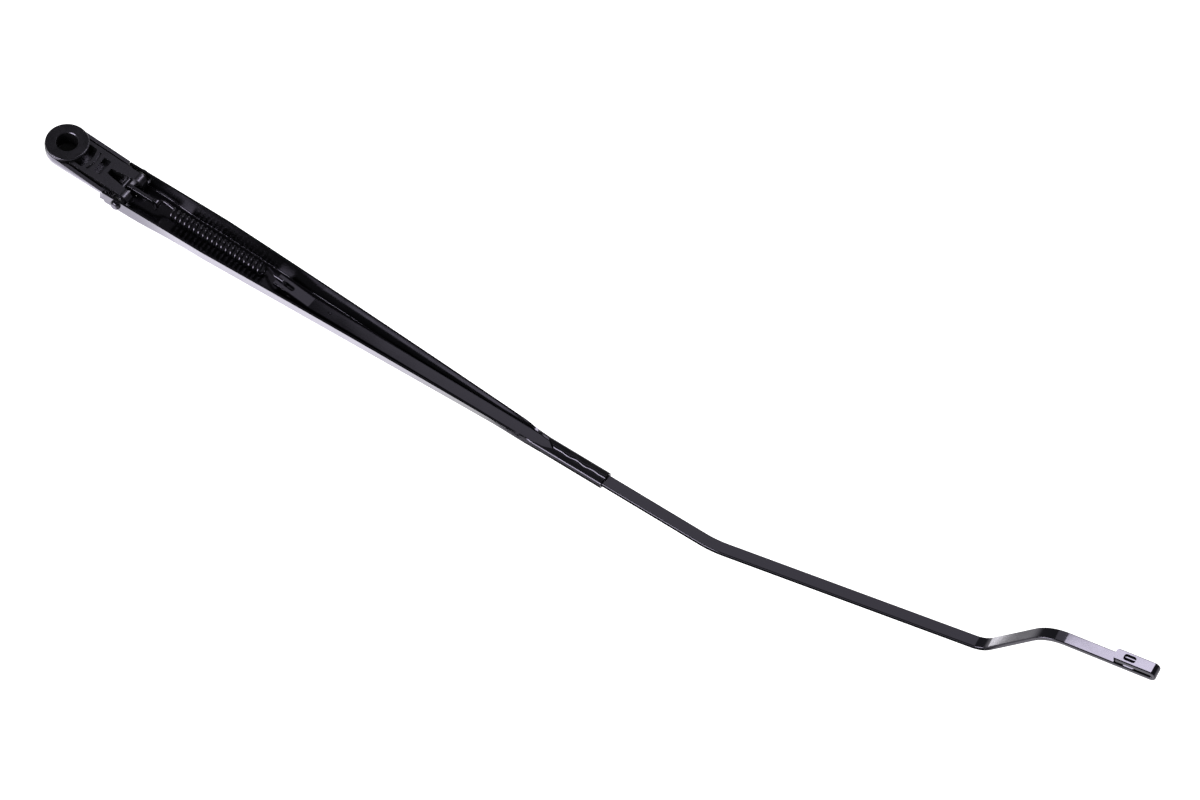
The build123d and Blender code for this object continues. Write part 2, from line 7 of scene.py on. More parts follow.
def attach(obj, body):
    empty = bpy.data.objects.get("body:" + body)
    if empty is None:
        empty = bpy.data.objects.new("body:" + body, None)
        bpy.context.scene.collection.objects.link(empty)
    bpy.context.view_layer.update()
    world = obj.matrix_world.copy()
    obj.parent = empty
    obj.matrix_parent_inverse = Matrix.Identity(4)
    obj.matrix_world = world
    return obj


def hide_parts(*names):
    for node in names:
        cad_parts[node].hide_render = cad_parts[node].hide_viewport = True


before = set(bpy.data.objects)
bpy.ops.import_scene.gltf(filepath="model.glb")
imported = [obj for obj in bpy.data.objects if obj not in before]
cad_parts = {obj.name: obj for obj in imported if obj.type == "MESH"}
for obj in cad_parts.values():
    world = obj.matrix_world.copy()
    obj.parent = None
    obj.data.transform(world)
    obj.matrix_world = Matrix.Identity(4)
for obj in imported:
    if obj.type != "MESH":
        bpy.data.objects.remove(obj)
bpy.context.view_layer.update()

bl_info = {
    "name": "Wiper arm",
    "version": (1, 0, 0),
    "blender": (4, 5, 0),
    "location": "View3D > Sidebar > Wiper arm",
    "description": "Builds a wiper arm's channel, rod and spring, with their finishes and a studio",
    "category": "Object",
}

MM = 0.001
# Points closer than this count as one point
SAME_POINT = 0.001 * MM


def length(name, description, value):
    """A size in metres, given in millimetres."""
    return bpy.props.FloatProperty(
        name=name, description=description, default=value * MM, unit="LENGTH", precision=5
    )


def opening(name, description, sizes):
    """Length, width and corner radius of an opening, given in millimetres."""
    return bpy.props.FloatVectorProperty(
        name=name, description=description, default=tuple(v * MM for v in sizes), unit="LENGTH", precision=5
    )


def angle(name, description, value):
    """An angle, given in degrees."""
    return bpy.props.FloatProperty(
        name=name, description=description, default=np.radians(value), subtype="ANGLE"
    )


def linear(hex_colour):
    """Linear RGB of an sRGB hex colour."""
    srgb = np.array([int(hex_colour[i:i + 2], 16) for i in (1, 3, 5)]) / 255
    return tuple(np.where(srgb <= 0.04045, srgb / 12.92, ((srgb + 0.055) / 1.055) ** 2.4))


def colour(name, description, hex_colour):
    """A colour, given in hex."""
    return bpy.props.FloatVectorProperty(
        name=name, description=description, default=linear(hex_colour), subtype="COLOR", min=0, max=1
    )


class PivotSizes(bpy.types.PropertyGroup):
    """Place of the pivot between head and channel"""

    x: length("Pivot X", "Distance of the pivot from the spindle", 42.3)
    z: length("Pivot Z", "Height of the pivot from the boss face", -9.6)


class ChannelSizes(bpy.types.PropertyGroup):
    """Sizes of the folded channel and its crimp"""

    sheet: length("Sheet", "Thickness of the folded sheet", 1.2)
    fold: length("Fold radius", "Outer radius of the folds at the hinge", 2.4)
    ear: length("Ear radius", "Radius of the ears round the pivot", 8.7)
    ear_drop: length("Ear drop", "Depth of the ears below the pivot", 4.4)
    floor: length("Floor start", "Distance of the floor's edge from the pivot", 3.479)
    tongue: length("Tongue", "Length of the floor's tongue under the link", 4.8)
    half_width: length("Half width", "Half the width over the free edges", 12.95)
    free_z: length("Free edge Z", "Height of the free edges at the hinge", -5.6)
    back_z: length("Back Z", "Height of the outer back at the hinge", -15.8)
    back_slope: angle("Back slope", "Rise of the back beyond the rod's end", 0.6)
    hinge_flare: angle("Hinge flare", "Lean of the walls at the hinge", 4)
    wall_flare: angle("Wall flare", "Lean of the walls along the arm", 13)
    flare_run: length("Flare run", "Length in which the lean changes", 36)
    taper_x: length("Taper X", "Where the channel starts to narrow", 100)
    sag: length("Edge bow", "Bow of the free edges between their ends", 1.9)
    crimp_x: length("Crimp X", "Where the channel closes round the rod", 324)
    crimp: length("Crimp length", "Length of the closed end", 40)
    throat: length("Throat", "Length in which the flaps come together", 6)
    curl: length("Curl run", "Length in which the free edges curl in before the crimp", 18)
    swell: length("Near swell", "Rise of the near flap towards the seam", 0.3)
    crown: length("Far crown", "Rise of the far flap towards the seam", 0.8)
    roll: length("Far roll", "Radius on which the far flap turns down to the seam", 2)
    seam_y: length("Seam Y", "Place of the seam between the flaps", -1)
    seam: length("Seam width", "Gap between the flaps", 0.35)
    wave: length("Seam wave", "Swing of the seam", 0.35)


class RodSizes(bpy.types.PropertyGroup):
    """Sizes of the flat rod from its inner end to the folded one"""

    width: length("Width", "Width of the strip", 7.4)
    thick: length("Thickness", "Thickness of the strip", 2.7)
    edge: length("Edge radius", "Rounding of the strip's edges", 0.6)
    fit: length("Fit", "Gap between strip and crimp", 0.05)
    end_x: length("Inner end X", "Where the strip starts", 142.5)
    tilt: angle("Tilt", "Slope of the inner end", 9)
    tilt_x: length("Tilt X", "Where the inner end lands on the floor", 166)
    tilt_r: length("Tilt radius", "Radius of that bend", 12)
    bend_x: length("Bend X", "Where the sideways bend starts", 429)
    bend: angle("Bend", "Sideways bend", 12)
    bend_r: length("Bend radius", "Radius of the sideways bend", 70)
    reach: length("Reach", "Straight run up to the step", 146.5)
    step: angle("Step angle", "Slope of the step", 43)
    rise: length("Step rise", "Height of the step", 34.5)
    lower_r: length("Lower radius", "Radius at the foot of the step", 16)
    upper_r: length("Upper radius", "Radius at the top of the step", 26)
    dip: angle("Dip", "Slope down beyond the step", 3.2)
    level: length("Level run", "Straight run above the step", 50)
    gap: length("Fold gap", "Space inside the folded end", 1.6)
    fold: length("Fold length", "Length of the leg that is folded back", 22)
    corner: length("Fold corner", "Radius of that leg's free corners", 2.2)
    window: opening("Window", "Length, width and corner radius of the opening in that leg", (7, 4.2, 1.5))
    window_set: length("Window place", "Distance of the opening's middle from the leg's end", 8.6)
    slot: opening("Slot", "Length, width and corner radius of the slot for the spring's hook", (7.5, 3, 1.49))
    slot_set: length("Slot place", "Distance of the slot's middle from the inner end", 7.75)
    pip_x: length("Pip X", "Place of the pip on the strip's face", 178)
    pip_r: length("Pip radius", "Radius of the pip's sphere", 1.5)
    pip_h: length("Pip height", "Height of the pip above the face", 0.6)


class SpringSizes(bpy.types.PropertyGroup):
    """Sizes of the pull spring and the places where it hangs"""

    bar_x: length("Bar X", "Place of the bar that holds the link", 39.8)
    bar_z: length("Bar Z", "Height of that bar", -6.4)
    link: length("Link", "Length of the link from the bar to its eye", 20.7)
    wire: length("Wire", "Diameter of the wire", 1.7)
    coil: length("Coil", "Outer diameter of the coils", 8.1)
    start: length("Coil start", "Distance of the first coil from the bar", 31.5)
    pitch: length("Pitch", "Distance from coil to coil", 3.1)
    coils: bpy.props.IntProperty(name="Coils", description="Number of turns", default=20, min=1)
    loop: length("Loop radius", "Radius of the loop in the link's eye", 3.6)
    hook: length("Hook radius", "Radius of the hook in the rod's slot", 2.8)
    tail: length("Hook tail", "Straight end of the hook", 2.5)
    seat: length("Hook seat", "Distance of the hook's middle from the rod's end", 5.95)


class FinishColours(bpy.types.PropertyGroup):
    """Colours of the finishes and the floor"""

    channel: colour("Channel", "Powder coat of the channel", "#060607")
    rod: colour("Rod", "Dip coat of the rod", "#0b0b0e")
    casting: colour("Casting", "Gloss coat of the cast head", "#09090a")
    steel: colour("Steel", "Dip paint of spring, link and rivets", "#070708")
    nylon: colour("Bush", "Moulded nylon", "#0a0a0b")
    gleam: colour("Gleam", "Tint of the coats' reflections", "#ece4ff")
    floor: colour("Floor", "Studio floor", "#f4f4f4")


GROUPS = {
    "wiper_pivot": PivotSizes,
    "wiper_channel": ChannelSizes,
    "wiper_rod": RodSizes,
    "wiper_spring": SpringSizes,
    "wiper_finish": FinishColours,
}


def grid_faces(rows, columns, first=0, wrap=False):
    """Quads of a grid of points counted row by row; wrap joins the last column to the first."""
    index = first + np.arange(rows * columns).reshape(rows, columns)
    if wrap:
        index = np.hstack([index, index[:, :1]])
    quads = np.stack([index[:-1, :-1], index[1:, :-1], index[1:, 1:], index[:-1, 1:]], axis=-1)
    return quads.reshape(-1, 4)


def make_mesh(name, points, faces):
    """A new object at the origin from an array of points and lists of faces."""
    mesh = bpy.data.meshes.new(name)
    mesh.from_pydata(np.asarray(points).reshape(-1, 3), [], faces)
    mesh.validate()
    mesh.update()
    piece = bpy.data.objects.new(name, mesh)
    bpy.context.scene.collection.objects.link(piece)
    return piece


def settle(piece, sharp):
    """Applies the piece's modifiers and shades it smooth, apart from edges over an angle in degrees."""
    depsgraph = bpy.context.evaluated_depsgraph_get()
    mesh = bpy.data.meshes.new_from_object(piece.evaluated_get(depsgraph))
    old = piece.data
    piece.modifiers.clear()
    piece.data = mesh
    bpy.data.meshes.remove(old)
    mesh.name = piece.name
    mesh.shade_smooth()
    mesh.set_sharp_from_angle(angle=np.radians(sharp))


def flat_areas(piece):
    """Weighs the normals by face area, so that flat areas beside rounded edges shade flat."""
    weighted = piece.modifiers.new("flat areas", "WEIGHTED_NORMAL")
    weighted.keep_sharp = True


def merge_doubles(piece, distance):
    """Joins points that lie closer than a distance and turns the faces outwards."""
    work = bmesh.new()
    work.from_mesh(piece.data)
    bmesh.ops.remove_doubles(work, verts=work.verts, dist=distance)
    bmesh.ops.recalc_face_normals(work, faces=work.faces)
    work.to_mesh(piece.data)
    work.free()


# Angle in degrees over which the rod's edges stay sharp
ROD_SHARP = 38


def carve(piece, points, faces, operation):
    """Cuts a closed tool out of a piece, or joins it on."""
    tool = make_mesh("tool", points, faces)
    merge_doubles(tool, SAME_POINT)
    boolean = piece.modifiers.new("tool", "BOOLEAN")
    boolean.operation = operation
    boolean.solver = "EXACT"
    boolean.object = tool
    settle(piece, sharp=ROD_SHARP)
    mesh = tool.data
    bpy.data.objects.remove(tool)
    bpy.data.meshes.remove(mesh)


def back_height(c, rod, x):
    """The back is level as far as the rod's end and rises at an even slope from there."""
    return c.back_z + np.maximum(x - rod.tilt_x, 0) * np.tan(c.back_slope)


def crimp_size(c, rod):
    """Half width, height and corner radius of the crimp's outside."""
    return rod.width / 2 + rod.fit + c.sheet, rod.thick + 2 * rod.fit + 2 * c.sheet, c.sheet + rod.edge


def smooth_step(t):
    """0 to 1 with level ends: 3t^2 - 2t^3."""
    t = np.clip(t, 0, 1)
    return t * t * (3 - 2 * t)


def channel_lines(c, pivot, rod, x):
    """Half width at the free edge, heights of that edge and the back, lean and fold radius at each x.

    The free edge is a straight line with a parabola's bow, the width a straight taper, and the lean changes
    along a smooth step at both ends."""
    half, tall, corner = crimp_size(c, rod)
    start = pivot.x - c.ear
    end_z = back_height(c, rod, c.crimp_x) + tall
    along = (x - start) / (c.crimp_x - start)
    free = c.free_z + along * (end_z - c.free_z) + 4 * c.sag * along * (1 - along)
    taper = np.clip((x - c.taper_x) / (c.crimp_x - c.taper_x), 0, 1)
    width = c.half_width + taper * (half - c.half_width)
    growing = smooth_step((x - pivot.x - c.ear) / c.flare_run)
    closing = smooth_step((c.crimp_x - x) / c.flare_run)
    lean = (np.tan(c.hinge_flare) + growing * (np.tan(c.wall_flare) - np.tan(c.hinge_flare))) * closing
    fold = c.fold + taper * (corner - c.fold)
    return width, free, back_height(c, rod, x), lean, fold


# Edge of the tongue, and of the step beside it, as shares of the floor's half width
TONGUE_EDGE = 0.141
TONGUE_STEP = 1.15 * TONGUE_EDGE

# Steps across the floor, the fold, the wall and the lip that curls in
FLOOR_STEPS, FOLD_STEPS, WALL_STEPS, LIP_STEPS = 6, 9, 14, 3

# Steps along the open channel and along the crimp
TROUGH_ROWS, CRIMP_ROWS = 150, 60

# How far the far flap turns down at the seam, and how often the seam swings to and fro
ROLL_TURN = np.radians(60)
SEAM_WAVES = 3

# Rounding of the sheet's cut edges, the angle in degrees over which an edge counts as cut, and the distance
# under which the sheet's points are joined
SHEET_EDGE = 0.45 * MM
SHEET_SHARP = 50
SHEET_JOIN = 0.02 * MM


def wall_half(c, pivot, rod, x):
    """One half of the channel's outer skin, from the middle of the floor to the free edge, for an array of x.

    Floor: a line out to where the fold starts, with a pair of points at the tongue's edge. Fold: a circle
    of the fold radius turned from the floor's direction into the wall's. Wall: a line on to the free edge.
    Lip: its last part, which curls in to a quarter circle at the crimp. Returns y and z, a row for each x."""
    width, free, back, lean, fold = (np.asarray(a)[..., None] for a in channel_lines(c, pivot, rod, x))
    foot = width - lean * (free - back)
    turn = np.pi / 2 - np.arctan(lean)
    tangent = fold * np.tan(turn / 2)
    t = np.concatenate([[0, TONGUE_EDGE], np.linspace(TONGUE_STEP, 1, FLOOR_STEPS, endpoint=False)])
    floor_y, floor_z = (foot - tangent) * t, back + 0 * t
    t = np.linspace(0, 1, FOLD_STEPS, endpoint=False) * turn
    fold_y, fold_z = foot - tangent + fold * np.sin(t), back + fold * (1 - np.cos(t))
    top_z = back + fold * (1 - np.cos(turn))
    corner = crimp_size(c, rod)[2]
    a = np.linspace(0, np.pi / 2, LIP_STEPS + 1)[1:]
    t = np.linspace(0, 1, WALL_STEPS)
    curl = smooth_step((np.asarray(x)[..., None] - c.crimp_x + c.curl) / c.curl)
    lip = np.arange(1, LIP_STEPS + 1) / LIP_STEPS
    lip = lip + curl * (np.sin(a) - lip)
    wall_z = np.concatenate([top_z + (free - corner - top_z) * t, free - corner + corner * lip], -1)
    wall_y = width - lean * (free - wall_z)
    wall_y[..., -LIP_STEPS:] -= curl * corner * (1 - np.cos(a))
    return np.concatenate([floor_y, fold_y, wall_y], -1), np.concatenate([floor_z, fold_z, wall_z], -1)


class WIPER_OT_channel(bpy.types.Operator):
    """Makes the folded sheet channel with its ears and the crimp round the rod"""

    bl_idname = "wiper.channel"
    bl_label = "Channel"

    def execute(self, context):
        s = context.scene
        c, pivot, rod = s.wiper_channel, s.wiper_pivot, s.wiper_rod
        points, faces = self.trough(c, pivot, rod)
        more, more_faces = self.crimp(c, pivot, rod, len(points))
        points = np.vstack([points, more])
        faces = np.vstack([faces, more_faces]).tolist()
        piece = make_mesh("channel_sheet", points, faces)
        merge_doubles(piece, SHEET_JOIN)
        solid = piece.modifiers.new("sheet", "SOLIDIFY")
        solid.thickness = c.sheet
        solid.offset = -1
        solid.use_even_offset = True
        bevel = piece.modifiers.new("edges", "BEVEL")
        bevel.width = SHEET_EDGE
        bevel.segments = 3
        bevel.limit_method = "ANGLE"
        bevel.angle_limit = np.radians(SHEET_SHARP)
        settle(piece, sharp=SHEET_SHARP)
        flat_areas(piece)
        piece.data.materials.append(powder_coat(s.wiper_finish))
        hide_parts("arm_channel")
        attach(piece, "arm")
        return {"FINISHED"}

    @staticmethod
    def trough(c, pivot, rod):
        """The open part: the skin's cross-section carried along X, starting on the outline of the ears.

        A point of the cross-section starts where its height meets the ear's outline: a circle about the
        pivot, or the edge of the floor if it lies lower than the ears reach. The two points next to the
        middle start further out, as the tongue."""
        rows = TROUGH_ROWS
        z = wall_half(c, pivot, rod, np.array([pivot.x]))[1]
        depth = z[0] - pivot.z
        rounded = pivot.x - np.sqrt(np.maximum(c.ear ** 2 - np.minimum(depth, 0) ** 2, 0))
        start = np.where(depth < -c.ear_drop, pivot.x + c.floor, rounded)
        start[:2] -= c.tongue
        v = np.linspace(0, 1, rows)[:, None]
        x = start + v * (c.crimp_x - start)
        flat_y, flat_z = wall_half(c, pivot, rod, x.ravel())
        pick = np.tile(np.arange(x.shape[1]), rows)
        each = np.arange(len(pick))
        half = np.stack([x.ravel(), flat_y[each, pick], flat_z[each, pick]], -1).reshape(rows, -1, 3)
        near = half[:, :0:-1] * [1, -1, 1]
        skin = np.concatenate([near, half], axis=1)
        return skin.reshape(-1, 3), grid_faces(rows, skin.shape[1])

    @staticmethod
    def crimp(c, pivot, rod, first):
        """The closed end: the cross-section at the crimp, whose curled lips run on as flaps up to the seam.

        The near flap rises evenly to the seam. The far flap rises to a crown and turns down to the seam on
        a circle. The seam swings from side to side as a sine that fades at its ends, and the flaps start on
        a slant."""
        rows = CRIMP_ROWS
        half, tall, corner = crimp_size(c, rod)
        v = np.linspace(0, 1, rows)[:, None]
        base_y, base_z = wall_half(c, pivot, rod, np.array([c.crimp_x]))
        columns = base_y.shape[1]
        base_z = base_z - back_height(c, rod, c.crimp_x)
        # The far flap has closer steps on the half that turns down
        near_steps = np.linspace(0, 1, 5)[1:]
        far_steps = np.concatenate([np.linspace(0, 0.5, 4)[1:], np.linspace(0.5, 1, 6)[1:]])
        inner = half - corner
        turn_y = c.roll * np.sin(ROLL_TURN)
        swing = c.wave * np.sin(2 * np.pi * SEAM_WAVES * v) * np.sin(np.pi * v)
        sides = []
        for out, flat in ((-1, near_steps), (1, far_steps)):
            late = np.concatenate([np.zeros(columns), flat])
            x = c.crimp_x + v * c.crimp + late * c.throat * (1 - v)
            edge = out * (c.seam_y + swing) + c.seam / 2
            flap_y = inner + (edge - inner) * flat
            if out < 0:
                flap_z = tall + c.swell * flat + 0 * v
            else:
                short = np.clip(turn_y - (flap_y - edge), 0, turn_y)
                slope = tall + c.crown * np.minimum((inner - flap_y) / (inner - edge - turn_y), 1)
                flap_z = slope - c.roll + np.sqrt(c.roll ** 2 - short ** 2)
            y = np.concatenate([np.broadcast_to(base_y, (rows, columns)), flap_y], axis=1)
            z = np.concatenate([np.broadcast_to(base_z, (rows, columns)), flap_z], axis=1)
            sides.append(np.stack([x, out * y, back_height(c, rod, x) + z], -1))
        skin = np.concatenate([sides[0][:, :0:-1], sides[1]], axis=1)
        return skin.reshape(-1, 3), grid_faces(rows, skin.shape[1], first)


class Strip:
    """A line laid down run by run, with the strip's width and face directions at each of its points."""

    def __init__(self, place, side, up, ahead):
        self.place, self.side, self.up, self.ahead = (np.array(a, float) for a in (place, side, up, ahead))
        self.rows = [np.stack([self.place, self.side, self.up])[None]]

    def run(self, distance, spacing=3 * MM):
        """Straight on: place + t * ahead."""
        steps = max(int(distance / spacing), 1)
        t = distance * np.linspace(0, 1, steps + 1)[1:, None]
        place = self.place + t * self.ahead
        self.keep(place, np.broadcast_to(self.side, place.shape), np.broadcast_to(self.up, place.shape))

    def turn(self, turn, radius, across=False, steps=16):
        """A bend on a circle: towards the upper face, or with across towards the width's direction."""
        way = np.sign(turn)
        inward = (self.side if across else self.up) * way
        a = abs(turn) * np.linspace(0, 1, steps + 1)[1:, None]
        toward = inward * np.cos(a) - self.ahead * np.sin(a)
        place = self.place + radius * inward - radius * toward
        still = np.broadcast_to(self.up if across else self.side, place.shape)
        self.ahead = self.ahead * np.cos(abs(turn)) + inward * np.sin(abs(turn))
        if across:
            self.keep(place, toward * way, still)
        else:
            self.keep(place, still, toward * way)

    def keep(self, place, side, up):
        """Adds points to the line and goes on from the last of them."""
        self.rows.append(np.stack([place, side, up], axis=1))
        self.place, self.side, self.up = place[-1], side[-1], up[-1]

    def skin(self, across, along):
        """A section carried along the line: place + across * side + along * up."""
        place, side, up = np.moveaxis(np.concatenate(self.rows), 1, 0)
        return place[:, None] + across[:, None] * side[:, None] + along[:, None] * up[:, None]


def rounded_section(width, height, radius, steps=6):
    """A rectangle with quarter circles at its corners, as two arrays."""
    a = np.linspace(0, np.pi / 2, steps)
    a = np.concatenate([a, a + np.pi / 2, a + np.pi, a + 3 * np.pi / 2])
    sx = np.repeat([1, -1, -1, 1], steps)
    sy = np.repeat([1, 1, -1, -1], steps)
    return sx * (width / 2 - radius) + radius * np.cos(a), sy * (height / 2 - radius) + radius * np.sin(a)


def fold_corner(radius, out, steps=12):
    """What is cut off one corner of the folded leg: a quarter circle against the corner's two edges.

    Of its two arrays the first runs out of the leg's end, the second across it; the corner is at 0, and both
    edges stand proud of the leg by half a radius."""
    a = np.linspace(0, np.pi / 2, steps)
    u = np.concatenate([radius * np.cos(a) - radius, [-radius, radius / 2, radius / 2]])
    w = np.concatenate([radius * np.sin(a) - radius, [radius / 2, radius / 2, -radius]])
    return u, out * w


def rod_ramp(c, rod):
    """Start of the rod and the length of its ramp down to the channel's floor."""
    rise = c.sheet + rod.fit + rod.thick / 2
    land_x = rod.tilt_x - rise * np.sin(c.back_slope)
    land_z = c.back_z + rise * np.cos(c.back_slope)
    in_bend = rod.tilt_r * (np.sin(rod.tilt) + np.sin(c.back_slope))
    ramp = (land_x - in_bend - rod.end_x) / np.cos(rod.tilt)
    drop = ramp * np.sin(rod.tilt) + rod.tilt_r * (np.cos(c.back_slope) - np.cos(rod.tilt))
    return np.array([rod.end_x, 0, land_z + drop]), ramp


class WIPER_OT_rod(bpy.types.Operator):
    """Makes the flat rod with its slot, bends, step and folded end"""

    bl_idname = "wiper.rod"
    bl_label = "Rod"

    def execute(self, context):
        s = context.scene
        c, rod = s.wiper_channel, s.wiper_rod
        start, ramp = rod_ramp(c, rod)
        lean = np.array([np.cos(rod.tilt), 0, -np.sin(rod.tilt)])
        strip = Strip(start, (0, 1, 0), (np.sin(rod.tilt), 0, np.cos(rod.tilt)), lean)
        strip.run(ramp)
        strip.turn(rod.tilt + c.back_slope, rod.tilt_r)
        strip.run((rod.bend_x - rod.tilt_x) / np.cos(c.back_slope))
        strip.turn(rod.bend, rod.bend_r, across=True)
        strip.run(rod.reach)
        strip.turn(rod.step, rod.lower_r, steps=28)
        in_bends = (rod.lower_r + rod.upper_r) * (1 - np.cos(rod.step))
        strip.run((rod.rise - in_bends) / np.sin(rod.step))
        strip.turn(-rod.step - rod.dip, rod.upper_r, steps=36)
        strip.run(rod.level)
        strip.turn(np.pi, (rod.thick + rod.gap) / 2, steps=28)
        strip.run(rod.fold)
        across, along = rounded_section(rod.width, rod.thick, rod.edge)
        skin = strip.skin(across, along)
        rows, columns = skin.shape[:2]
        faces = grid_faces(rows, columns, wrap=True).tolist()
        faces.append(list(range(columns)))
        faces.append(list(range((rows - 1) * columns, rows * columns))[::-1])
        piece = make_mesh("rod_strip", skin, faces)
        merge_doubles(piece, SAME_POINT)
        carve(piece, *self.pip(c, rod), "UNION")
        slot = rounded_section(*rod.slot, steps=8)
        slot_at = start + lean * rod.slot_set
        self.cut(piece, slot_at, (0, 1, 0), lean, slot, 2 * rod.thick)
        window = rounded_section(*rod.window, steps=8)
        window_at = strip.place - strip.ahead * rod.window_set
        leg = rod.thick + rod.gap
        self.cut(piece, window_at, strip.side, strip.ahead, window, leg)
        for out in (-1, 1):
            corner = fold_corner(rod.corner, out)
            corner_at = strip.place + strip.side * out * rod.width / 2
            self.cut(piece, corner_at, strip.side, strip.ahead, corner, leg)
        settle(piece, sharp=ROD_SHARP)
        flat_areas(piece)
        piece.data.materials.append(dip_coat(s.wiper_finish))
        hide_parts("wiper_rod")
        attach(piece, "arm")
        return {"FINISHED"}

    @staticmethod
    def cut(piece, middle, side, ahead, outline, deep):
        """Cuts an outline through the strip: the section of a prism along the face's normal."""
        side, ahead = np.array(side, float), np.array(ahead, float)
        up = np.cross(ahead, side)
        u, w = outline
        ring = middle + u[:, None] * ahead + w[:, None] * side
        skin = np.stack([ring - up * deep / 2, ring + up * deep / 2])
        faces = grid_faces(2, len(u), wrap=True).tolist()
        faces += [list(range(len(u))), list(range(len(u), 2 * len(u)))[::-1]]
        carve(piece, skin, faces, "DIFFERENCE")

    @staticmethod
    def pip(c, rod, rings=15, sides=28):
        """A small ball sunk in the strip's upper face: rings of a sphere about the face's normal."""
        height = c.sheet + rod.fit + rod.thick + rod.pip_h - rod.pip_r
        slope = c.back_slope
        middle = np.array([rod.pip_x, 0, back_height(c, rod, rod.pip_x)])
        middle = middle + height * np.array([-np.sin(slope), 0, np.cos(slope)])
        up = np.linspace(0, np.pi, rings)[:, None]
        around = np.linspace(0, 2 * np.pi, sides, endpoint=False)
        ball = np.stack(np.broadcast_arrays(
            np.sin(up) * np.cos(around), np.sin(up) * np.sin(around), np.cos(up)
        ), -1)
        return middle + rod.pip_r * ball, grid_faces(rings, sides, wrap=True).tolist()


# Where the spring's loop starts on its circle and how far it runs round, in degrees
LOOP_FROM, LOOP_SWEEP = 250, 160

# Sides of the wire, points to a turn, and points on the loop, the hook's leg, its bow and its tail
WIRE_SIDES, TURN_POINTS = 14, 36
LOOP_POINTS, LEG_POINTS, BOW_POINTS, TAIL_POINTS = 24, 8, 20, 5


class WIPER_OT_spring(bpy.types.Operator):
    """Makes the pull spring with its loop in the link's eye and its hook in the rod's slot"""

    bl_idname = "wiper.spring"
    bl_label = "Spring"

    def execute(self, context):
        s = context.scene
        spring = s.wiper_spring
        start = rod_ramp(s.wiper_channel, s.wiper_rod)[0]
        tilt = s.wiper_rod.tilt
        bar = np.array([spring.bar_x, 0, spring.bar_z])
        hook = start + spring.seat * np.array([np.cos(tilt), 0, -np.sin(tilt)])
        span = np.linalg.norm(hook - bar)
        ahead = (hook - bar) / span
        up = np.cross(ahead, [0, 1, 0])
        path, normal = self.line(spring, span)
        tangent = np.gradient(path, axis=0)
        tangent /= np.linalg.norm(tangent, axis=1)[:, None]
        normal -= (normal * tangent).sum(1)[:, None] * tangent
        normal /= np.linalg.norm(normal, axis=1)[:, None]
        other = np.cross(tangent, normal)
        a = np.linspace(0, 2 * np.pi, WIRE_SIDES, endpoint=False)[:, None]
        r = spring.wire / 2
        skin = path[:, None] + r * np.cos(a) * normal[:, None] + r * np.sin(a) * other[:, None]
        pull_axes = np.stack([ahead, [0, 1, 0], up])
        skin = bar + skin @ pull_axes
        rows, columns = skin.shape[:2]
        faces = grid_faces(rows, columns, wrap=True).tolist()
        faces += [list(range(columns)), list(range((rows - 1) * columns, rows * columns))[::-1]]
        piece = make_mesh("spring_wire", skin, faces)
        merge_doubles(piece, SAME_POINT)
        settle(piece, sharp=60)
        piece.data.materials.append(spring_steel(s.wiper_finish))
        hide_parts("tension_spring")
        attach(piece, "link")
        return {"FINISHED"}

    @staticmethod
    def line(spring, span):
        """The wire's middle line and a direction across it, in the frame of pull.

        Loop: part of a circle in the level plane. Coils: a helix about the line of pull. Hook: a straight leg
        and half a circle in the upright plane. Cubics with matched directions join them."""
        coil_r = (spring.coil - spring.wire) / 2
        a = np.radians(LOOP_FROM - LOOP_SWEEP * np.linspace(0, 1, LOOP_POINTS, endpoint=False))
        loop = np.stack([spring.link + spring.loop * (1 + np.cos(a)), spring.loop * np.sin(a), 0 * a], -1)
        loop_end = np.array([spring.link + spring.loop, spring.loop, 0])
        a = np.linspace(0, 2 * np.pi * spring.coils, TURN_POINTS * spring.coils + 1)
        advance = spring.start + spring.pitch * a / (2 * np.pi)
        coils = np.stack([advance, coil_r * np.cos(a), coil_r * np.sin(a)], -1)
        into = 1.5 * np.array([spring.pitch / (2 * np.pi), 0, coil_r])
        level = np.array([2 * coil_r, 0, 0])
        leg = np.array([coils[-1, 0] + spring.coil, 0, spring.hook])
        turn_x = span - spring.hook
        a = np.pi / 2 - np.linspace(0, np.pi, BOW_POINTS)
        bow = np.stack([turn_x + spring.hook * np.cos(a), 0 * a, spring.hook * np.sin(a)], -1)
        t = np.linspace(0, 1, LEG_POINTS)[1:-1, None]
        run = leg + t * (bow[0] - leg)
        tail = bow[-1] - np.array([spring.tail, 0, 0]) * np.linspace(0, 1, TAIL_POINTS)[1:, None]
        lead_in = cubic(loop_end, level, coils[0], into)[:-1]
        lead_out = cubic(coils[-1], into, leg, level)[1:]
        parts = [loop, lead_in, coils, lead_out, run, bow, tail]
        path = np.concatenate(parts)
        ahead = np.gradient(path, axis=0)
        across = np.cross(ahead, [0, 1, 0])
        # The direction across points up on the loop and back along the coils, and elsewhere lies upright
        kind = np.repeat(np.arange(len(parts)), [len(p) for p in parts])[:, None]
        across = np.where(kind == 0, [0, 0, 1], np.where(kind == 2, [-1, 0, 0], across))
        return path, across.astype(float)


def cubic(start, start_way, end, end_way, steps=18):
    """Points on the cubic between two ends that leaves and arrives in the given directions."""
    t = np.linspace(0, 1, steps)[:, None]
    return (
        start * (2 * t ** 3 - 3 * t ** 2 + 1)
        + start_way * (t ** 3 - 2 * t ** 2 + t)
        + end * (3 * t ** 2 - 2 * t ** 3)
        + end_way * (t ** 3 - t ** 2)
    )


